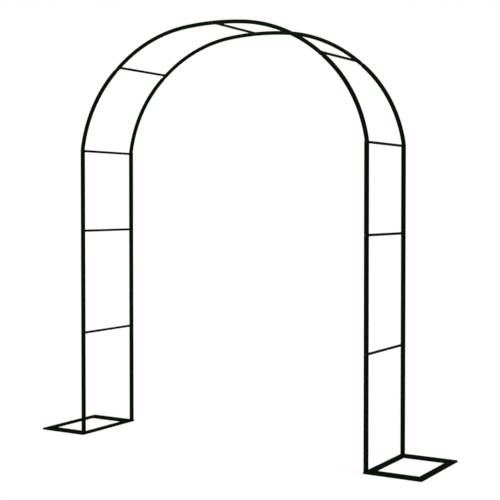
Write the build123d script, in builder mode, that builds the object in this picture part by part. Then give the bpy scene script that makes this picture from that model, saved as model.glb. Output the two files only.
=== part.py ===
from build123d import *
import os
from math import radians, sin

# Free-standing garden arch: two parallel hoops of round steel tube, nine rungs between them,
# and a flat rectangular frame under each pair of legs.
# Row frame: X across the walk-through, Y from the front hoop to the rear one, Z up,
# origin on the ground in the middle of the arch. Millimetres.

os.makedirs("parts", exist_ok=True)

# ---- driving dimensions ----------------------------------------------------------------------
LEG_SPAN = 1864.0            # between the leg centre lines, left to right
HOOP_GAP = 472.0             # between the hoop centre lines, front to rear
LEG_RUNG_Z = (612.0, 1224.0, 1701.0)   # the arch springs at the last one

LEG_TUBE_R = 13.0            # tube sizes step down from the legs to the crown
LEG_WALL = 1.2
LEG_PLUG_R = 11.5            # swaged end that plugs into a leg tube
SIDE_TUBE_R = 12.0
CROWN_TUBE_R = 11.0
ARC_WALL = 1.0
CROWN_PLUG_R = 9.7           # swaged end that plugs into a crown tube
SEAM = 18.0                  # a socket's mouth stands this far past its rung bolt,
SPRING_SEAM = 6.0            # but only this far where the arch springs from the legs
PLUG_END = 24.0              # a plug reaches this far beyond the bolt, the other way
TAPER = 3.0                  # length of the swage's cone

# Bends of a half hoop, from the springing to the crown, as radius and turn in degrees.
# The last radius is worked out, so that the halves meet level in the middle.
KINK_R, KINK_TURN = 60.0, 9.5
SIDE_R, SIDE_TURN = 737.0, 39.8
CROWN_R, CROWN_TURN = 880.0, 34.8
TOP_TURN = 90.0 - KINK_TURN - SIDE_TURN - CROWN_TURN
SHOULDER_NECK = 14.0         # bare neck that shows below the shoulder socket

RUNG_R = 7.0
RUNG_WALL = 1.0
SADDLE_R = 9.0               # washer between a rung's end and the hoop tube
SADDLE_LENGTH = 5.0          # from the tube's side to the rung's end
SADDLE_PLAY = 0.05

BOLT_R = 2.9
BOLT_HOLE_R = 3.2
BOLT_LENGTH = 42.0           # under the head
HEAD_R = 5.5
HEAD_HEIGHT = 3.3
HEX_KEY = 4.0
HEX_DEPTH = 1.8
INSERT_LENGTH = 16.0         # threaded insert in each rung end
INSERT_THREAD_R = 3.0

FOOT_SIDE_BAR = 42.0         # width of the foot frame's inner and outer bars
FOOT_END_BAR = 70.0          # width of its front and rear bars, which carry the legs
FOOT_HEIGHT = 9.0
FOOT_WALL = 1.2
FOOT_EDGE_R = 1.5
FOOT_MARGIN = 5.0            # the frame shows this far in front of its legs, and behind
FOOT_LENGTH = HOOP_GAP + 2 * (LEG_TUBE_R + FOOT_MARGIN)   # foot frame, front to rear
FOOT_WIDTH = 326.0           # foot frame, away from the walk-through
FOOT_INSET = 12.0            # the leg's centre line, from the frame's inner edge
SPIGOT_WALL = 1.5
SPIGOT_HEIGHT = 45.0         # above the foot bar

SIDES = {"left": -1, "right": 1}
HOOPS = {"front": -HOOP_GAP / 2, "rear": HOOP_GAP / 2}
SPRING_Z = LEG_RUNG_Z[-1]


def write(builder, name):
    """Name the finished part and write its STEP file."""
    builder.part.label = name
    export_step(builder.part, f"parts/{name}.step")


def across(path, t):
    """The plane that stands square to a path, at t of its length."""
    return Plane(origin=path @ t, z_dir=path % t)


# ---- centre line of a half hoop --------------------------------------------------------------
class HalfHoop:
    """The runs and bends of one half of a hoop's arch, from the leg's top to the crown."""

    def __init__(self, side, y):
        turn = side
        foot = (side * LEG_SPAN / 2, SPRING_Z - PLUG_END)
        with BuildLine(Plane.XZ.offset(-y)):
            self.plug = Line(foot, (foot[0], SPRING_Z + SPRING_SEAM))
            self.low_taper = self.straight_on(self.plug, TAPER)
            self.kink = JernArc(self.low_taper @ 1, self.low_taper % 1, KINK_R, turn * KINK_TURN)
            self.side = JernArc(self.kink @ 1, self.kink % 1, SIDE_R, turn * SIDE_TURN)
            self.high_taper = self.straight_on(self.side, TAPER)
            self.neck = self.straight_on(self.high_taper, SHOULDER_NECK)
            self.crown = JernArc(self.neck @ 1, self.neck % 1, CROWN_R, turn * CROWN_TURN)
            self.top_r = abs((self.crown @ 1).X) / sin(radians(TOP_TURN))
            self.top = JernArc(self.crown @ 1, self.crown % 1, self.top_r, turn * TOP_TURN)
        plane = Plane.XZ.offset(-y)
        with BuildLine(plane):
            self.shoulder_plug = self.bend(self.neck, CROWN_R, turn, SEAM + PLUG_END)
            self.overrun = self.bend(self.top, self.top_r, turn, SEAM)
            self.short_top = JernArc(
                self.crown @ 1, self.crown % 1, self.top_r,
                turn * (TOP_TURN - self.degrees(SEAM + TAPER, self.top_r)),
            )
            self.top_taper = self.bend(self.short_top, self.top_r, turn, TAPER)
            self.top_plug = self.bend(self.top_taper, self.top_r, turn, SEAM + PLUG_END)

    @staticmethod
    def straight_on(edge, length):
        return Line(edge @ 1, edge @ 1 + (edge % 1) * length)

    @staticmethod
    def degrees(length, radius):
        return length / radius / radians(1)

    def bend(self, edge, radius, turn, length):
        return JernArc(edge @ 1, edge % 1, radius, turn * self.degrees(length, radius))

    def shoulder(self):
        """Where the shoulder rung's bolt goes through, and the tube's direction there."""
        t = SEAM / (CROWN_R * radians(CROWN_TURN))
        return self.crown @ t, self.crown % t


right_front = HalfHoop(1, HOOPS["front"])
shoulder_point, shoulder_run = right_front.shoulder()
crown_point = right_front.top @ 1
print(f"crown rung at {crown_point.Z:.1f}, top radius {right_front.top_r:.0f}")
print(f"shoulder rungs at {shoulder_point.X:.1f}, {shoulder_point.Z:.1f}")

# Every rung: name, place across the arch and up, the tube's direction there and its radius.
RUNGS = []
for side_name, side in SIDES.items():
    for level, height in zip(("lower", "middle", "springing"), LEG_RUNG_Z):
        RUNGS.append((f"{side_name}_{level}_rung", side * LEG_SPAN / 2, height, (0, 0, 1), LEG_TUBE_R))
    run = (side * shoulder_run.X, 0, shoulder_run.Z)
    place = (side * shoulder_point.X, shoulder_point.Z)
    RUNGS.append((f"{side_name}_shoulder_rung", *place, run, CROWN_TUBE_R))
RUNGS.append(("crown_rung", 0, crown_point.Z, (1, 0, 0), CROWN_TUBE_R))


def rung_end(tube_r):
    """Distance of a rung's end from the middle plane, where the hoop tube has this radius."""
    return HOOP_GAP / 2 - tube_r - SADDLE_LENGTH


# ---- leg tubes -------------------------------------------------------------------------------
def drill(x, y, z):
    """A bolt hole through both walls of a hoop tube, front to rear."""
    with Locations((x, y, z)):
        Cylinder(BOLT_HOLE_R, 4 * LEG_TUBE_R, rotation=(90, 0, 0), mode=Mode.SUBTRACT)


def mouth(rung_z):
    """Height of the socket's mouth above a rung."""
    return rung_z + (SPRING_SEAM if rung_z == SPRING_Z else SEAM)


def leg_tube(x, y, rung_z, rung_below):
    """A straight leg tube up to its socket at a rung. It stands on the foot frame, or has a
    swaged plug that reaches down past the rung below."""
    top = mouth(rung_z)
    if rung_below is None:
        line = [(LEG_TUBE_R, FOOT_HEIGHT), (LEG_TUBE_R, top)]
    else:
        seam = mouth(rung_below)
        tip = rung_below - PLUG_END
        line = [(LEG_PLUG_R, tip), (LEG_PLUG_R, seam), (LEG_TUBE_R, seam + TAPER), (LEG_TUBE_R, top)]
    bore = [(r - LEG_WALL, z) for r, z in reversed(line)]
    with BuildPart() as tube:
        with BuildSketch(Plane(origin=(x, y, 0), x_dir=(1, 0, 0), z_dir=(0, -1, 0))):
            Polygon(*line, *bore, align=None)
        revolve(axis=Axis((x, y, 0), (0, 0, 1)))
        drill(x, y, rung_z)
        if rung_below is not None:
            drill(x, y, rung_below)
    return tube


for side_name, side in SIDES.items():
    for hoop_name, y in HOOPS.items():
        rung_below = None
        for name, rung_z in zip(("lower", "middle", "upper"), LEG_RUNG_Z):
            tube = leg_tube(side * LEG_SPAN / 2, y, rung_z, rung_below)
            write(tube, f"{side_name}_{hoop_name}_{name}_leg")
            rung_below = rung_z

# ---- curved arch tubes -----------------------------------------------------------------------
# each is made solid first, then bored with the same shape a wall's thickness smaller
SOLID_THEN_BORE = ((0.0, Mode.ADD), (ARC_WALL, Mode.SUBTRACT))


def side_tube(hoop, y, side):
    """The steep tube from springing to shoulder, swaged at both ends."""
    body = Wire([hoop.kink, hoop.side])
    high_plug = Wire([hoop.neck, hoop.shoulder_plug])
    with BuildPart() as tube:
        for smaller, mode in SOLID_THEN_BORE:
            with BuildSketch(across(hoop.plug, 0)) as low_ring:
                Circle(LEG_PLUG_R - smaller)
            sweep(sections=low_ring.sketch, path=Wire([hoop.plug]), mode=mode)
            with BuildSketch(across(hoop.low_taper, 0)) as cone_foot:
                Circle(LEG_PLUG_R - smaller)
            with BuildSketch(across(hoop.low_taper, 1)) as cone_top:
                Circle(SIDE_TUBE_R - smaller)
            loft(sections=[cone_foot.sketch, cone_top.sketch], mode=mode)
            with BuildSketch(across(body, 0)) as body_ring:
                Circle(SIDE_TUBE_R - smaller)
            sweep(sections=body_ring.sketch, path=body, mode=mode)
            with BuildSketch(across(hoop.high_taper, 0)) as cone_foot:
                Circle(SIDE_TUBE_R - smaller)
            with BuildSketch(across(hoop.high_taper, 1)) as cone_top:
                Circle(CROWN_PLUG_R - smaller)
            loft(sections=[cone_foot.sketch, cone_top.sketch], mode=mode)
            with BuildSketch(across(high_plug, 0)) as high_ring:
                Circle(CROWN_PLUG_R - smaller)
            sweep(sections=high_ring.sketch, path=high_plug, mode=mode)
        drill(side * LEG_SPAN / 2, y, SPRING_Z)
        drill(side * shoulder_point.X, y, shoulder_point.Z)
    return tube


def crown_socket_tube(hoop, y, side):
    """The flat tube from shoulder to crown, open at both ends."""
    path = Wire([hoop.crown, hoop.top, hoop.overrun])
    with BuildPart() as tube:
        for smaller, mode in SOLID_THEN_BORE:
            with BuildSketch(across(path, 0)) as ring:
                Circle(CROWN_TUBE_R - smaller)
            sweep(sections=ring.sketch, path=path, mode=mode)
        drill(side * shoulder_point.X, y, shoulder_point.Z)
        drill(0, y, crown_point.Z)
    return tube


def crown_plug_tube(hoop, y, side):
    """The flat tube from shoulder to crown, open at the shoulder and swaged at the crown."""
    path = Wire([hoop.crown, hoop.short_top])
    with BuildPart() as tube:
        for smaller, mode in SOLID_THEN_BORE:
            with BuildSketch(across(path, 0)) as ring:
                Circle(CROWN_TUBE_R - smaller)
            sweep(sections=ring.sketch, path=path, mode=mode)
            with BuildSketch(across(hoop.top_taper, 0)) as cone_foot:
                Circle(CROWN_TUBE_R - smaller)
            with BuildSketch(across(hoop.top_taper, 1)) as cone_top:
                Circle(CROWN_PLUG_R - smaller)
            loft(sections=[cone_foot.sketch, cone_top.sketch], mode=mode)
            with BuildSketch(across(hoop.top_plug, 0)) as neck_ring:
                Circle(CROWN_PLUG_R - smaller)
            sweep(sections=neck_ring.sketch, path=Wire([hoop.top_plug]), mode=mode)
        drill(side * shoulder_point.X, y, shoulder_point.Z)
        drill(0, y, crown_point.Z)
    return tube


for side_name, side in SIDES.items():
    make_crown_tube = crown_plug_tube if side_name == "left" else crown_socket_tube
    for hoop_name, y in HOOPS.items():
        hoop = HalfHoop(side, y)
        write(side_tube(hoop, y, side), f"{side_name}_{hoop_name}_side_arc")
        write(make_crown_tube(hoop, y, side), f"{side_name}_{hoop_name}_crown_arc")

# ---- rungs and their fastenings --------------------------------------------------------------
for name, x, z, run, tube_r in RUNGS:
    with BuildPart() as rung:
        with BuildSketch(Plane.XZ.offset(-rung_end(tube_r))):
            with Locations((x, z)):
                Circle(RUNG_R)
                Circle(RUNG_R - RUNG_WALL, mode=Mode.SUBTRACT)
        extrude(amount=2 * rung_end(tube_r))
    write(rung, name)

with BuildPart() as rung_inserts:
    for name, x, z, run, tube_r in RUNGS:
        for end in (-1, 1):
            with BuildSketch(Plane.XZ.offset(-end * rung_end(tube_r))):
                with Locations((x, z)):
                    Circle(RUNG_R - RUNG_WALL)
                    Circle(INSERT_THREAD_R, mode=Mode.SUBTRACT)
            extrude(amount=end * INSERT_LENGTH)
write(rung_inserts, "rung_inserts")

with BuildPart() as rung_saddles:
    for name, x, z, run, tube_r in RUNGS:
        for end in (-1, 1):
            with BuildSketch(Plane.XZ.offset(-end * rung_end(tube_r))):
                with Locations((x, z)):
                    Circle(SADDLE_R)
            extrude(amount=-end * (SADDLE_LENGTH + tube_r))
    for name, x, z, run, tube_r in RUNGS:
        for y in HOOPS.values():
            with BuildSketch(Plane(origin=(x, y, z), z_dir=run)):
                Circle(tube_r + SADDLE_PLAY)
            extrude(amount=2 * SADDLE_R, both=True, mode=Mode.SUBTRACT)
        with Locations((x, 0, z)):
            Cylinder(BOLT_HOLE_R, HOOP_GAP, rotation=(90, 0, 0), mode=Mode.SUBTRACT)
write(rung_saddles, "rung_saddles")

with BuildPart() as rung_bolts:
    for name, x, z, run, tube_r in RUNGS:
        seat = HOOP_GAP / 2 + tube_r
        for end in (-1, 1):
            with BuildSketch(Plane.XZ.offset(-end * seat)):
                with Locations((x, z)):
                    Circle(BOLT_R)
            extrude(amount=end * BOLT_LENGTH)
            with BuildSketch(Plane.XZ.offset(-end * seat)):
                with Locations((x, z)):
                    Circle(HEAD_R)
            extrude(amount=-end * HEAD_HEIGHT, taper=20)
            with BuildSketch(Plane.XZ.offset(-end * (seat + HEAD_HEIGHT))):
                with Locations((x, z)):
                    RegularPolygon(HEX_KEY / 2, 6, major_radius=False)
            extrude(amount=end * HEX_DEPTH, mode=Mode.SUBTRACT)
write(rung_bolts, "rung_bolts")


# ---- foot frames -----------------------------------------------------------------------------
def foot_bar(low, high, runs_along_y, outline):
    """A flat box-section bar that fills the rectangle low..high, mitred to a plan outline."""
    mid_x = (low[0] + high[0]) / 2
    mid_y = (low[1] + high[1]) / 2
    size_x = high[0] - low[0]
    size_y = high[1] - low[1]
    if runs_along_y:
        section = Plane(origin=(mid_x, low[1], FOOT_HEIGHT / 2), x_dir=(1, 0, 0), z_dir=(0, 1, 0))
        width, length = size_x, size_y
    else:
        section = Plane(origin=(low[0], mid_y, FOOT_HEIGHT / 2), x_dir=(0, 1, 0), z_dir=(1, 0, 0))
        width, length = size_y, size_x
    with BuildPart() as bar:
        with BuildSketch(section):
            RectangleRounded(width, FOOT_HEIGHT, FOOT_EDGE_R)
            Rectangle(width - 2 * FOOT_WALL, FOOT_HEIGHT - 2 * FOOT_WALL, mode=Mode.SUBTRACT)
        extrude(amount=length)
        with BuildSketch(Plane.XY):
            Polygon(*outline, align=None)
        extrude(amount=FOOT_HEIGHT, mode=Mode.INTERSECT)
    return bar


for side_name, side in SIDES.items():
    inner_x = side * (LEG_SPAN / 2 - FOOT_INSET)
    outer_x = inner_x + side * FOOT_WIDTH
    half_y = FOOT_LENGTH / 2
    open_inner_x = inner_x + side * FOOT_SIDE_BAR
    open_outer_x = outer_x - side * FOOT_SIDE_BAR
    open_y = half_y - FOOT_END_BAR
    corners = [(inner_x, -half_y), (outer_x, -half_y), (outer_x, half_y), (inner_x, half_y)]
    opening = [
        (open_inner_x, -open_y), (open_outer_x, -open_y), (open_outer_x, open_y), (open_inner_x, open_y),
    ]
    for index, name in enumerate(("front", "outer", "rear", "inner")):
        following = (index + 1) % 4
        outline = [corners[index], corners[following], opening[following], opening[index]]
        low = (min(x for x, y in outline), min(y for x, y in outline))
        high = (max(x for x, y in outline), max(y for x, y in outline))
        bar = foot_bar(low, high, name in ("outer", "inner"), outline)
        write(bar, f"{side_name}_foot_{name}_bar")
    with BuildPart() as spigots:
        with BuildSketch(Plane.XY.offset(FOOT_HEIGHT)):
            with Locations(*[(side * LEG_SPAN / 2, y) for y in HOOPS.values()]):
                Circle(LEG_PLUG_R)
                Circle(LEG_PLUG_R - SPIGOT_WALL, mode=Mode.SUBTRACT)
        extrude(amount=SPIGOT_HEIGHT)
    write(spigots, f"{side_name}_foot_spigots")
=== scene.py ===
from math import ceil, cos, pi, radians, sin, sqrt

import bmesh
import bpy
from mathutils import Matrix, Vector


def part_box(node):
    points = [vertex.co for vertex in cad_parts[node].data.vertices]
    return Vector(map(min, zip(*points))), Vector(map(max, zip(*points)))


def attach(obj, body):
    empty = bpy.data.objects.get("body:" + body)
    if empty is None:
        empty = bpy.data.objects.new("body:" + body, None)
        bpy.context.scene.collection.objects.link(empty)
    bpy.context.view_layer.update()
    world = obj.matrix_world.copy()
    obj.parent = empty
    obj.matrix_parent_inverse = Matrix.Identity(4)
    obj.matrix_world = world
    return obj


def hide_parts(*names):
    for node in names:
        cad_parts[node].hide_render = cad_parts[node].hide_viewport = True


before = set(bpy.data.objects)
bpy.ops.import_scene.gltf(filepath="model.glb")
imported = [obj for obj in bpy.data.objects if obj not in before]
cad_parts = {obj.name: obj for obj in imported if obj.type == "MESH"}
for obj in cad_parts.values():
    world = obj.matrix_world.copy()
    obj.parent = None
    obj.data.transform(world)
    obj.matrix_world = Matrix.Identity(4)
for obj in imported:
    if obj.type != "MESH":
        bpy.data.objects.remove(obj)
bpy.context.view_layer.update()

MM = 0.001

# ---- sizes that the frame gives --------------------------------------------------------------
leg_low, leg_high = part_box("right_front_upper_leg")
foot_leg_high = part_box("right_front_lower_leg")[1]
rear_low, rear_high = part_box("right_rear_upper_leg")
side_low, side_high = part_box("right_front_side_arc")
crown_low, crown_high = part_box("right_front_crown_arc")

LEG_R = (leg_high.x - leg_low.x) / 2
SIDE_TUBE_R = (side_high.y - side_low.y) / 2
CROWN_TUBE_R = (crown_high.y - crown_low.y) / 2
HALF_SPAN = (leg_high.x + leg_low.x) / 2
HOOP_Y = (rear_low.y + rear_high.y) / 2


def rung_centre(name):
    """The middle of a rung's box."""
    low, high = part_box(name)
    return (low + high) / 2


SPRING_Z = rung_centre("right_springing_rung").z
SPRING_SEAM = leg_high.z - SPRING_Z       # the top socket's mouth stands this far past its bolt
SEAM = foot_leg_high.z - rung_centre("right_lower_rung").z    # and the other sockets' mouths
PLUG_END = SPRING_Z - side_low.z          # a plug reaches this far beyond the bolt

# ---- sizes of the tubes, as they were bent ---------------------------------------------------
LEG_WALL = 1.2 * MM
ARC_WALL = 1.0 * MM
LEG_PLUG_R = 11.5 * MM
CROWN_PLUG_R = 9.7 * MM
TAPER = 3 * MM
KINK_R, KINK_TURN = 60 * MM, radians(9.5)
SIDE_R, SIDE_TURN = 737 * MM, radians(39.8)
CROWN_R, CROWN_TURN = 880 * MM, radians(34.8)
TOP_TURN = pi / 2 - KINK_TURN - SIDE_TURN - CROWN_TURN
SHOULDER_NECK = 14 * MM
WEAR = 4 * MM                             # the coat is rubbed this far back from a cut end

SIDES = {"left": -1, "right": 1}
HOOPS = {"front": -HOOP_Y, "rear": HOOP_Y}
RING = 48                                 # points round a hoop tube
STRAIGHT_GAP = 40 * MM                    # furthest that a straight tube's rings are apart
BENT_GAP = 9 * MM                         # and a bent tube's
LIP_DEPTH = 0.7                           # depth of a rounded lip, as a share of half the wall


# ---- mesh helpers ----------------------------------------------------------------------------
def make_piece(name, vertices, faces, material, replaced=(), edge=None, sharp=32):
    """A finished piece: smooth but for sharp edges, riding on the root body."""
    mesh = bpy.data.meshes.new(name)
    mesh.from_pydata([tuple(v) for v in vertices], [], faces)
    mesh.validate()
    if edge is not None:
        attribute = mesh.attributes.new("edge", "FLOAT", "POINT")
        attribute.data.foreach_set("value", edge)
    shape = bmesh.new()
    shape.from_mesh(mesh)
    bmesh.ops.recalc_face_normals(shape, faces=shape.faces)
    shape.to_mesh(mesh)
    shape.free()
    mesh.polygons.foreach_set("use_smooth", [True] * len(mesh.polygons))
    mesh.set_sharp_from_angle(angle=radians(sharp))
    mesh.materials.append(material)
    piece = bpy.data.objects.new(name, mesh)
    bpy.context.scene.collection.objects.link(piece)
    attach(piece, "root")
    if replaced:
        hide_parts(*replaced)
    return piece


def join_rings(rings, closed):
    """Quads between rings of the same number of points; closed joins the last to the first."""
    count = len(rings[0])
    faces = []
    last = len(rings) if closed else len(rings) - 1
    for i in range(last):
        a = i * count
        b = ((i + 1) % len(rings)) * count
        for k in range(count):
            n = (k + 1) % count
            faces.append((a + k, a + n, b + n, b + k))
    return faces


def add_rings(rings, closed, points, faces):
    """Adds rings to a piece's points and faces. Unless they are closed, both ends are capped."""
    base = len(points)
    count = len(rings[0])
    last = base + (len(rings) - 1) * count
    for ring in rings:
        points += ring
    faces += [tuple(base + i for i in face) for face in join_rings(rings, closed)]
    if not closed:
        faces.append(tuple(base + i for i in range(count)))
        faces.append(tuple(last + i for i in range(count)))


def paint_node(name, material):
    """Gives a CAD node that is shown as it is its material."""
    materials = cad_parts[name].data.materials
    materials.clear()
    materials.append(material)


class Path:
    """A line in an X-Z plane, made of straight runs and bends, followed by its length."""

    def __init__(self, x, z, heading, segments, side, y):
        self.side, self.y = side, y
        self.marks = []
        s = 0.0
        for length, turn in segments:
            self.marks.append((s, x, z, heading, turn / length))
            x, z, heading = self.step(x, z, heading, turn / length, length)
            s += length
        self.length = s

    @staticmethod
    def step(x, z, heading, bend, ds):
        """The point and heading reached after a length ds at a constant bend."""
        if abs(bend) < 1e-9:
            return x + ds * cos(heading), z + ds * sin(heading), heading
        after = heading + bend * ds
        x += (sin(after) - sin(heading)) / bend
        z -= (cos(after) - cos(heading)) / bend
        return x, z, after

    def at(self, s):
        """The point at length s, and the direction in which the line runs there."""
        mark = self.marks[0]
        for candidate in self.marks:
            if candidate[0] <= s:
                mark = candidate
        x, z, heading = self.step(*mark[1:], s - mark[0])
        point = Vector((self.side * x, self.y, z))
        return point, Vector((self.side * cos(heading), 0, sin(heading)))


def smooth_step(start, end, from_r, to_r, steps=8):
    """Stations of an S-shaped change of radius, as a swaging die leaves it."""
    stations = []
    for i in range(steps + 1):
        t = i / steps
        share = (1 - cos(pi * t)) / 2
        stations.append((start + t * (end - start), from_r + (to_r - from_r) * share))
    return stations


def lip(s, inward, outer_r, inner_r, steps=6):
    """Stations round a tube's cut end, from the outside to the bore; inward is -1 or 1."""
    mid = (outer_r + inner_r) / 2
    half = (outer_r - inner_r) / 2
    stations = []
    for i in range(steps + 1):
        angle = pi * i / steps
        stations.append((s + inward * half * (1 - sin(angle)) * LIP_DEPTH, mid + half * cos(angle)))
    return stations


def spaced(stations, gap):
    """The same stations, with more between any two that are further apart than gap."""
    result = [stations[0]]
    for (s0, r0), (s1, r1) in zip(stations, stations[1:]):
        parts = max(1, ceil(abs(s1 - s0) / gap))
        for i in range(1, parts + 1):
            t = i / parts
            result.append((s0 + t * (s1 - s0), r0 + t * (r1 - r0)))
    return result


def tube_stations(start, end, radius, wall, start_neck=None, end_neck=None):
    """The closed outline of a tube wall: full size from start to end, with a neck beyond either
    end, given as its length and radius, or a plain cut end where there is none."""
    outer = []
    inner = []
    if start_neck:
        length, neck_r = start_neck
        outer += smooth_step(start - TAPER, start, neck_r, radius)
        inner += smooth_step(start - TAPER, start, neck_r - wall, radius - wall)
        start_lip = lip(start - TAPER - length, 1, neck_r, neck_r - wall)
    else:
        outer.append((start + WEAR, radius))
        start_lip = lip(start, 1, radius, radius - wall)
    if end_neck:
        length, neck_r = end_neck
        outer += smooth_step(end, end + TAPER, radius, neck_r)
        inner += smooth_step(end, end + TAPER, radius - wall, neck_r - wall)
        end_lip = lip(end + TAPER + length, -1, neck_r, neck_r - wall)
    else:
        outer.append((end - WEAR, radius))
        end_lip = lip(end, -1, radius, radius - wall)
    return start_lip[::-1] + outer + end_lip + inner[::-1]


def sweep_tube(name, path, stations, material, gap):
    """A hollow tube along a path, from the closed outline of its wall."""
    stations = spaced(stations + stations[:1], gap)[:-1]
    vertices, edge, rings = [], [], []
    across = Vector((0, 1, 0))
    tips = min(s for s, r in stations), max(s for s, r in stations)
    for s, r in stations:
        centre, run = path.at(s)
        up = run.cross(across)
        ring = []
        for k in range(RING):
            angle = 2 * pi * k / RING
            ring.append(centre + (across * cos(angle) + up * sin(angle)) * r)
        rings.append(ring)
        vertices += ring
        end_distance = min(s - tips[0], tips[1] - s)
        edge += [max(0.0, 1 - end_distance / WEAR)] * RING
    return make_piece(name, vertices, join_rings(rings, True), material, (name,), edge)


# ---- materials -------------------------------------------------------------------------------
RUBBED = (0.020, 0.034, 0.022)            # the coat's colour where it is rubbed thin


def powder_coat(name, base, light, roughness, gloss=0.02):
    """Dark powder coat on steel: fine orange peel, faint uneven colour, edges rubbed thinner."""
    material = bpy.data.materials.new(name)
    material.use_nodes = True
    nodes = material.node_tree.nodes
    links = material.node_tree.links
    shader = nodes["Principled BSDF"]
    shader.inputs["Metallic"].default_value = 0.0
    shader.inputs["IOR"].default_value = 1.5
    shader.inputs["Specular IOR Level"].default_value = gloss
    where = nodes.new("ShaderNodeTexCoord")

    def noise(scale, detail, rough=0.5):
        node = nodes.new("ShaderNodeTexNoise")
        node.inputs["Scale"].default_value = scale
        node.inputs["Detail"].default_value = detail
        node.inputs["Roughness"].default_value = rough
        links.new(where.outputs["Object"], node.inputs["Vector"])
        return node

    def ramp(source, low, high, from_value, to_value):
        node = nodes.new("ShaderNodeMapRange")
        node.inputs["From Min"].default_value = low
        node.inputs["From Max"].default_value = high
        node.inputs["To Min"].default_value = from_value
        node.inputs["To Max"].default_value = to_value
        links.new(source, node.inputs["Value"])
        return node.outputs["Result"]

    cloud = noise(9, 4)
    colour = nodes.new("ShaderNodeMix")
    colour.data_type = "RGBA"
    colour.inputs["A"].default_value = (*base, 1)
    colour.inputs["B"].default_value = (*light, 1)
    links.new(ramp(cloud.outputs["Fac"], 0.3, 0.7, 0.0, 0.6), colour.inputs["Factor"])

    edge = nodes.new("ShaderNodeAttribute")
    edge.attribute_name = "edge"
    speckle = noise(700, 3, 0.7)
    rubbed = nodes.new("ShaderNodeMath")
    rubbed.operation = "MULTIPLY"
    links.new(edge.outputs["Fac"], rubbed.inputs[0])
    links.new(ramp(speckle.outputs["Fac"], 0.45, 0.65, 0.0, 0.5), rubbed.inputs[1])
    worn = nodes.new("ShaderNodeMix")
    worn.data_type = "RGBA"
    links.new(rubbed.outputs["Value"], worn.inputs["Factor"])
    links.new(colour.outputs["Result"], worn.inputs["A"])
    worn.inputs["B"].default_value = (*RUBBED, 1)
    links.new(worn.outputs["Result"], shader.inputs["Base Color"])

    patch = noise(55, 3)
    sheen = ramp(patch.outputs["Fac"], 0.3, 0.7, roughness - 0.05, roughness + 0.07)
    links.new(sheen, shader.inputs["Roughness"])

    peel = noise(420, 2, 0.45)
    grit = noise(1900, 1)
    height = nodes.new("ShaderNodeMath")
    height.operation = "MULTIPLY_ADD"
    links.new(grit.outputs["Fac"], height.inputs[0])
    height.inputs[1].default_value = 0.25
    links.new(peel.outputs["Fac"], height.inputs[2])
    bump = nodes.new("ShaderNodeBump")
    bump.inputs["Strength"].default_value = 0.22
    bump.inputs["Distance"].default_value = 0.00025
    links.new(height.outputs["Value"], bump.inputs["Height"])
    links.new(bump.outputs["Normal"], shader.inputs["Normal"])
    return material


TUBE_COAT = powder_coat("tube_coat", (0.0006, 0.0050, 0.0002), (0.0012, 0.0074, 0.0005), 0.50)
RUNG_COAT = powder_coat("rung_coat", (0.0006, 0.0046, 0.0002), (0.0012, 0.0066, 0.0005), 0.52)
# the foot frames wear the same coat as the hoops; this copy is made darker, as painted shade on the foot
# frames and their welds
SHADED_FOOT_COAT = powder_coat("foot_coat_painted_shade", (0.0004, 0.0030, 0.0001), (0.0009, 0.0048, 0.0004), 0.62)
BOLT_COAT = powder_coat("bolt_coat", (0.0009, 0.0042, 0.0006), (0.0018, 0.0066, 0.0012), 0.34, 0.25)

# ---- hoops -----------------------------------------------------------------------------------
leg_plug = (SEAM + PLUG_END, LEG_PLUG_R)
spring_plug = (SPRING_SEAM + PLUG_END, LEG_PLUG_R)
crown_plug = (SEAM + PLUG_END, CROWN_PLUG_R)
shoulder_plug = (SHOULDER_NECK + SEAM + PLUG_END, CROWN_PLUG_R)
bends = [
    (SPRING_SEAM + TAPER, 0),
    (KINK_R * KINK_TURN, KINK_TURN),
    (SIDE_R * SIDE_TURN, SIDE_TURN),
    (TAPER + SHOULDER_NECK, 0),
    (CROWN_R * CROWN_TURN, CROWN_TURN),
]
before_top = Path(HALF_SPAN, SPRING_Z, pi / 2, bends, 1, 0)
top_r = before_top.at(before_top.length)[0].x / sin(TOP_TURN)
bends.append((top_r * TOP_TURN, TOP_TURN))
side_start = SPRING_SEAM + TAPER
side_end = side_start + KINK_R * KINK_TURN + SIDE_R * SIDE_TURN
socket = side_end + TAPER + SHOULDER_NECK

for side_name, side in SIDES.items():
    for hoop_name, y in HOOPS.items():
        leg = Path(HALF_SPAN, 0, pi / 2, [(SPRING_Z, 0)], side, y)
        for level in ("lower", "middle", "upper"):
            name = f"{side_name}_{hoop_name}_{level}_leg"
            low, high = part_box(name)
            if level == "lower":
                stations = tube_stations(low.z, high.z, LEG_R, LEG_WALL)
            else:
                start = low.z + leg_plug[0] + TAPER
                stations = tube_stations(start, high.z, LEG_R, LEG_WALL, leg_plug)
            sweep_tube(name, leg, stations, TUBE_COAT, STRAIGHT_GAP)

        arch = Path(HALF_SPAN, SPRING_Z, pi / 2, bends, side, y)
        stations = tube_stations(side_start, side_end, SIDE_TUBE_R, ARC_WALL, spring_plug, shoulder_plug)
        sweep_tube(f"{side_name}_{hoop_name}_side_arc", arch, stations, TUBE_COAT, BENT_GAP)

        if side_name == "left":
            end = arch.length - SEAM - TAPER
            stations = tube_stations(socket, end, CROWN_TUBE_R, ARC_WALL, None, crown_plug)
        else:
            stations = tube_stations(socket, arch.length + SEAM, CROWN_TUBE_R, ARC_WALL)
        sweep_tube(f"{side_name}_{hoop_name}_crown_arc", arch, stations, TUBE_COAT, BENT_GAP)


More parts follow.
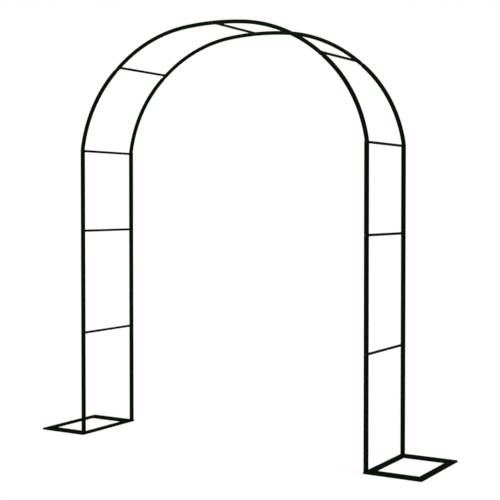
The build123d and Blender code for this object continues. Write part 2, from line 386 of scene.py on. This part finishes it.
# ---- rungs and their fastenings --------------------------------------------------------------
RUNG_WALL = 1.0 * MM
SADDLE_R = 9 * MM
BOLT_R = 2.9 * MM
BOLT_LENGTH = 42 * MM
HEAD_R = 5.5 * MM
HEAD_HEIGHT = 3.3 * MM
HEX_KEY = 4 * MM
HEX_DEPTH = 1.9 * MM
FLARE_LENGTH = 12 * MM                    # a rung's end widens over this length,
FLARE = 0.4 * MM                          # by this much
SADDLE_BORE = 3.2 * MM
SADDLE_HOLLOW = [SADDLE_BORE, 4.6 * MM, 6.0 * MM, 7.2 * MM, 8.2 * MM]   # rings on the tube's side
HEAD_RIM = 0.5 * MM                       # the straight rim below a bolt head's dome
HEAD_TOP_R = 3.0 * MM                     # where the dome ends and the socket's chamfer begins
SMALL_RING = 36                           # points round a rung, a saddle or a bolt


def lathe_y(centre, end, stations):
    """Rings round a line along Y through centre. A station gives, for an angle, a distance from
    the middle plane and a radius; end is -1 for the front hoop and 1 for the rear one."""
    rings = []
    for station in stations:
        ring = []
        for k in range(SMALL_RING):
            angle = 2 * pi * k / SMALL_RING
            y, r = station(angle)
            ring.append(Vector((centre.x + r * cos(angle), end * y, centre.z + r * sin(angle))))
        rings.append(ring)
    return rings


def plain(y, r):
    """A round station."""
    return lambda angle: (y, r)


def hoop_at(name):
    """The hoop tube's direction, in the X-Z plane, and its radius where this rung meets it."""
    if "shoulder" in name:
        side = -1 if name.startswith("left") else 1
        heading = pi / 2 + KINK_TURN + SIDE_TURN + SEAM / CROWN_R
        return (side * cos(heading), sin(heading)), CROWN_TUBE_R
    if "crown" in name:
        return (1.0, 0.0), CROWN_TUBE_R
    return (0.0, 1.0), LEG_R


def against_tube(r, run, tube_r, lift=0.0):
    """A station that lies on the hoop tube's side, towards the other hoop."""
    def station(angle):
        off = r * (cos(angle) * run[1] - sin(angle) * run[0])
        return HOOP_Y - sqrt(tube_r ** 2 - off ** 2) - lift, r
    return station


def hexagon(y, across_flats):
    """A six-sided station, for a hexagon socket."""
    def station(angle):
        part = (angle + pi / 6) % (pi / 3) - pi / 6
        return y, across_flats / 2 / cos(part)
    return station


RUNGS = sorted(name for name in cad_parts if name.endswith("_rung"))
saddle_points, saddle_faces = [], []
bolt_points, bolt_faces = [], []


for name in RUNGS:
    centre = rung_centre(name)
    low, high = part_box(name)
    rung_r = (high.z - low.z) / 2
    rung_end = high.y
    run, tube_r = hoop_at(name)
    # the rung: a thin tube, with its ends pressed a little wider against the saddles
    flare = []
    for i in range(9):
        t = i / 8
        flare.append((rung_end - FLARE_LENGTH * (1 - t), rung_r + FLARE * t * t))
    outline = [(-y, r) for y, r in reversed(flare)] + flare
    outline += [(rung_end, rung_r - RUNG_WALL), (-rung_end, rung_r - RUNG_WALL)]
    outline = spaced(outline + outline[:1], 30 * MM)[:-1]
    rings = lathe_y(centre, 1, [plain(y, r) for y, r in outline])
    points = [p for ring in rings for p in ring]
    make_piece(name, points, join_rings(rings, True), RUNG_COAT, (name,))

    for end in (-1, 1):
        # saddle: hollowed to fit the hoop tube, narrowing to the rung
        stations = [against_tube(r, run, tube_r) for r in SADDLE_HOLLOW] + [
            against_tube(SADDLE_R - 0.1 * MM, run, tube_r, 0.02 * MM),
            against_tube(SADDLE_R, run, tube_r, 0.25 * MM),
            plain(rung_end + 0.9 * MM, SADDLE_R - 0.3 * MM),
            plain(rung_end + 0.4 * MM, SADDLE_R - 0.8 * MM),
            plain(rung_end + 0.1 * MM, rung_r + 0.7 * MM),
            plain(rung_end, rung_r + 0.3 * MM),
            plain(rung_end, SADDLE_BORE),
        ]
        add_rings(lathe_y(centre, end, stations), True, saddle_points, saddle_faces)
        # button-head bolt with a hexagon socket
        face = HOOP_Y + tube_r
        dome = []
        for i in range(9):
            t = pi / 2 * (0.12 + 0.88 * i / 8)
            y = face + HEAD_RIM + (HEAD_HEIGHT - HEAD_RIM) * sin(t) ** 1.2
            r = HEAD_TOP_R + (HEAD_R - HEAD_TOP_R) * cos(t) ** 0.8
            dome.append(plain(y, r))
        stations = [
            plain(face - BOLT_LENGTH, BOLT_R - 0.6 * MM),
            plain(face - BOLT_LENGTH + 0.6 * MM, BOLT_R),
            plain(face, BOLT_R),
            plain(face, HEAD_R - 0.2 * MM),
            plain(face + 0.2 * MM, HEAD_R),
            plain(face + HEAD_RIM, HEAD_R),
        ] + dome + [
            hexagon(face + HEAD_HEIGHT - 0.05 * MM, HEX_KEY + 0.5 * MM),
            hexagon(face + HEAD_HEIGHT - 0.3 * MM, HEX_KEY),
            hexagon(face + HEAD_HEIGHT - HEX_DEPTH, HEX_KEY),
            plain(face + HEAD_HEIGHT - HEX_DEPTH - 0.4 * MM, 0.6 * MM),
        ]
        add_rings(lathe_y(centre, end, stations), False, bolt_points, bolt_faces)

make_piece("rung_saddles", saddle_points, saddle_faces, RUNG_COAT, ("rung_saddles",), sharp=40)
make_piece("rung_bolts", bolt_points, bolt_faces, BOLT_COAT, ("rung_bolts",), sharp=40)

# ---- foot frames -----------------------------------------------------------------------------
inner_low, inner_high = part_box("right_foot_inner_bar")
front_low, front_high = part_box("right_foot_front_bar")
FOOT_SIDE_BAR = inner_high.x - inner_low.x
FOOT_END_BAR = front_high.y - front_low.y
FOOT_HEIGHT = inner_high.z
EDGE_R = 1.5 * MM
CORNER_R = 10 * MM
BEAD_WIDTH, BEAD_HEIGHT = 4.2 * MM, 0.7 * MM
BEAD_PITCH = 2.1 * MM                     # from one ripple of a weld to the next
BEAD_SKIRT = 0.2 * MM                     # a weld reaches this far into the bars
BEAD_START, BEAD_END = 0.07, 0.97         # the stretch of a mitre that a weld covers
BEAD_POINTS = 10                          # points over a weld's round top


def foot_section(steps=5):
    """The bar's section: a share of the way across the bar, a distance beyond that, a height."""
    section = []
    corners = [
        (1, -EDGE_R, EDGE_R, -90), (1, -EDGE_R, FOOT_HEIGHT - EDGE_R, 0),
        (0, EDGE_R, FOOT_HEIGHT - EDGE_R, 90), (0, EDGE_R, EDGE_R, 180),
    ]
    for share, beyond, height, start in corners:
        for i in range(steps + 1):
            angle = radians(start + 90 * i / steps)
            section.append((share, beyond + EDGE_R * cos(angle), height + EDGE_R * sin(angle)))
    return section


def foot_frame(side_name):
    """The four mitred bars as one welded frame, its plan corners a little rounded."""
    low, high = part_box(f"{side_name}_foot_front_bar")
    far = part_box(f"{side_name}_foot_rear_bar")[1]
    min_x, max_x, min_y, max_y = low.x, high.x, low.y, far.y
    corners = [(min_x, min_y, 180), (max_x, min_y, 270), (max_x, max_y, 0), (min_x, max_y, 90)]
    steps, along = 6, 24
    section = foot_section()

    def at_corner(corner, angle, share, beyond):
        """A point of the section, carried round the corner and out to the mitre."""
        x, y, start = corner
        into_x = 1 if x == min_x else -1
        into_y = 1 if y == min_y else -1
        r = max(CORNER_R * (1 - share) - beyond, 0)
        centre_x = x + into_x * (share * FOOT_SIDE_BAR + beyond + r)
        centre_y = y + into_y * (share * FOOT_END_BAR + beyond + r)
        return centre_x + r * cos(angle), centre_y + r * sin(angle)

    rings = []
    for index, corner in enumerate(corners):
        following = corners[(index + 1) % 4]
        for i in range(steps + 1):
            angle = radians(corner[2] + 90 * i / steps)
            rings.append([(*at_corner(corner, angle, s, b), height) for s, b, height in section])
        last = rings[-1]
        turn = radians(following[2])
        first = [(*at_corner(following, turn, s, b), height) for s, b, height in section]
        for i in range(1, along):
            t = i / along
            rings.append([tuple(a + (b - a) * t for a, b in zip(p, q)) for p, q in zip(last, first)])
    points = [p for ring in rings for p in ring]
    names = [f"{side_name}_foot_{bar}_bar" for bar in ("front", "outer", "rear", "inner")]
    faces = join_rings(rings, True)
    # the frame takes the darker copy of the coat: painted shade
    piece = make_piece(f"{side_name}_foot_frame", points, faces, SHADED_FOOT_COAT, names)
    clean = bmesh.new()
    clean.from_mesh(piece.data)
    bmesh.ops.remove_doubles(clean, verts=clean.verts, dist=1e-6)
    bmesh.ops.dissolve_degenerate(clean, dist=1e-6, edges=clean.edges)
    clean.to_mesh(piece.data)
    clean.free()
    return min_x, max_x, min_y, max_y


def weld_bead(start, end, seed):
    """A low rippled bead of weld on a flat top, from start to end; the seed varies its ripples."""
    start, end = Vector(start), Vector(end)
    run = (end - start).normalized()
    across = run.cross(Vector((0, 0, 1)))
    length = (end - start).length
    count = max(12, int(length / BEAD_PITCH * 6))
    rings = []
    for i in range(count + 1):
        t = i / count
        s = t * length
        ripple = 0.5 + 0.5 * cos(2 * pi * (s / BEAD_PITCH) + seed)
        # two waves of unlike length, so that the bead wanders like one laid by hand
        wander = 0.12 * BEAD_WIDTH * sin(s * 310 + seed)
        wander += 0.06 * BEAD_WIDTH * sin(s * 911 + 2 * seed)
        taper = min(1.0, min(t, 1 - t) * length / (1.2 * BEAD_WIDTH)) ** 0.5
        half = BEAD_WIDTH / 2 * (0.88 + 0.12 * ripple) * max(taper, 0.02)
        rise = BEAD_HEIGHT * (0.72 + 0.28 * ripple) * max(taper, 0.02)
        ring = []
        for k in range(BEAD_POINTS):
            angle = pi * k / (BEAD_POINTS - 1)
            bow = run * (-0.35 * BEAD_PITCH * (1 - sin(angle)) if 0 < t < 1 else 0)
            sideways = across * (half * cos(angle) + wander)
            ring.append(start + run * s + sideways + Vector((0, 0, rise * sin(angle))) + bow)
        skirt = Vector((0, 0, BEAD_SKIRT))
        ring += [ring[-1] - skirt, ring[0] - skirt]
        rings.append(ring)
    return rings


for side_name, side in SIDES.items():
    min_x, max_x, min_y, max_y = foot_frame(side_name)
    bead_points, bead_faces = [], []
    corners = ((min_x, min_y), (max_x, min_y), (max_x, max_y), (min_x, max_y))
    for number, (x, y) in enumerate(corners):
        into_x = 1 if x == min_x else -1
        into_y = 1 if y == min_y else -1
        start, end = [
            (x + into_x * share * FOOT_SIDE_BAR, y + into_y * share * FOOT_END_BAR, FOOT_HEIGHT)
            for share in (BEAD_START, BEAD_END)
        ]
        add_rings(weld_bead(start, end, number * 1.7 + side), False, bead_points, bead_faces)
    # the welds take the darker copy of the coat too: painted shade
    make_piece(f"{side_name}_foot_welds", bead_points, bead_faces, SHADED_FOOT_COAT, sharp=60)

for name in ("left_foot_spigots", "right_foot_spigots"):
    paint_node(name, TUBE_COAT)

# ---- plain zinc-plated steel, inside the rung ends -------------------------------------------
def zinc_steel():
    """Bare plated steel with a fine grain in its tone."""
    material = bpy.data.materials.new("insert_steel")
    material.use_nodes = True
    nodes = material.node_tree.nodes
    links = material.node_tree.links
    shader = nodes["Principled BSDF"]
    shader.inputs["Metallic"].default_value = 1.0
    grain = nodes.new("ShaderNodeTexNoise")
    grain.inputs["Scale"].default_value = 600
    tone = nodes.new("ShaderNodeValToRGB")
    tone.color_ramp.elements[0].color = (0.30, 0.30, 0.29, 1)
    tone.color_ramp.elements[1].color = (0.52, 0.52, 0.50, 1)
    links.new(grain.outputs["Fac"], tone.inputs["Fac"])
    links.new(tone.outputs["Color"], shader.inputs["Base Color"])
    return material


paint_node("rung_inserts", zinc_steel())

# ---- floor, light and camera -----------------------------------------------------------------
FLOOR = 60                                # metres from the middle to each side
floor_corners = [(-FLOOR, -FLOOR, 0), (FLOOR, -FLOOR, 0), (FLOOR, FLOOR, 0), (-FLOOR, FLOOR, 0)]
floor_mesh = bpy.data.meshes.new("floor")
floor_mesh.from_pydata(floor_corners, [], [(0, 1, 2, 3)])
floor = bpy.data.objects.new("floor", floor_mesh)
bpy.context.scene.collection.objects.link(floor)
floor_paint = bpy.data.materials.new("floor_paint")
floor_paint.use_nodes = True
floor_shader = floor_paint.node_tree.nodes["Principled BSDF"]
floor_shader.inputs["Base Color"].default_value = (0.88, 0.88, 0.88, 1)
floor_shader.inputs["Roughness"].default_value = 1.0
floor_shader.inputs["Specular IOR Level"].default_value = 0.0
floor_mesh.materials.append(floor_paint)

# a white backdrop to look at, and a dimmer one to light by, so that dark paint stays dark
world = bpy.data.worlds.new("studio")
world.use_nodes = True
sky = world.node_tree
backdrop = sky.nodes["Background"]
backdrop.inputs["Color"].default_value = (1, 1, 1, 1)
backdrop.inputs["Strength"].default_value = 1.0
ambient = sky.nodes.new("ShaderNodeBackground")
ambient.inputs["Color"].default_value = (1, 1, 1, 1)
ambient.inputs["Strength"].default_value = 0.06
ray = sky.nodes.new("ShaderNodeLightPath")
choose = sky.nodes.new("ShaderNodeMixShader")
sky.links.new(ray.outputs["Is Camera Ray"], choose.inputs[0])
sky.links.new(ambient.outputs[0], choose.inputs[1])
sky.links.new(backdrop.outputs[0], choose.inputs[2])
sky.links.new(choose.outputs[0], sky.nodes["World Output"].inputs["Surface"])
bpy.context.scene.world = world


def sun(name, place, strength, spread, shadow=True):
    """A soft light from far away, so that the whole floor is lit alike."""
    data = bpy.data.lights.new(name, "SUN")
    data.energy = strength
    data.angle = radians(spread)
    data.use_shadow = shadow
    light = bpy.data.objects.new(name, data)
    light.location = place
    light.rotation_euler = (-Vector(place)).to_track_quat("-Z", "Y").to_euler()
    bpy.context.scene.collection.objects.link(light)


sun("key_light", (-3.0, -4.0, 7.0), 3.15, 50, shadow=False)
sun("fill_light", (4.5, -1.0, 5.0), 0.9, 60)
sun("rim_light", (0.5, 5.0, 6.0), 0.3, 60)

camera_data = bpy.data.cameras.new("camera")
camera_data.sensor_width = 36
camera_data.lens = 79.43
camera_data.shift_y = -0.0421
camera_data.clip_end = 200
camera = bpy.data.objects.new("camera", camera_data)
camera.location = (3.3425, -5.3645, 1.3815)
camera.rotation_euler = (pi / 2 - 0.0222, 0, 0.5446)
bpy.context.scene.collection.objects.link(camera)
bpy.context.scene.camera = camera
bpy.context.scene.view_settings.view_transform = "Standard"

bpy.context.view_layer.update()
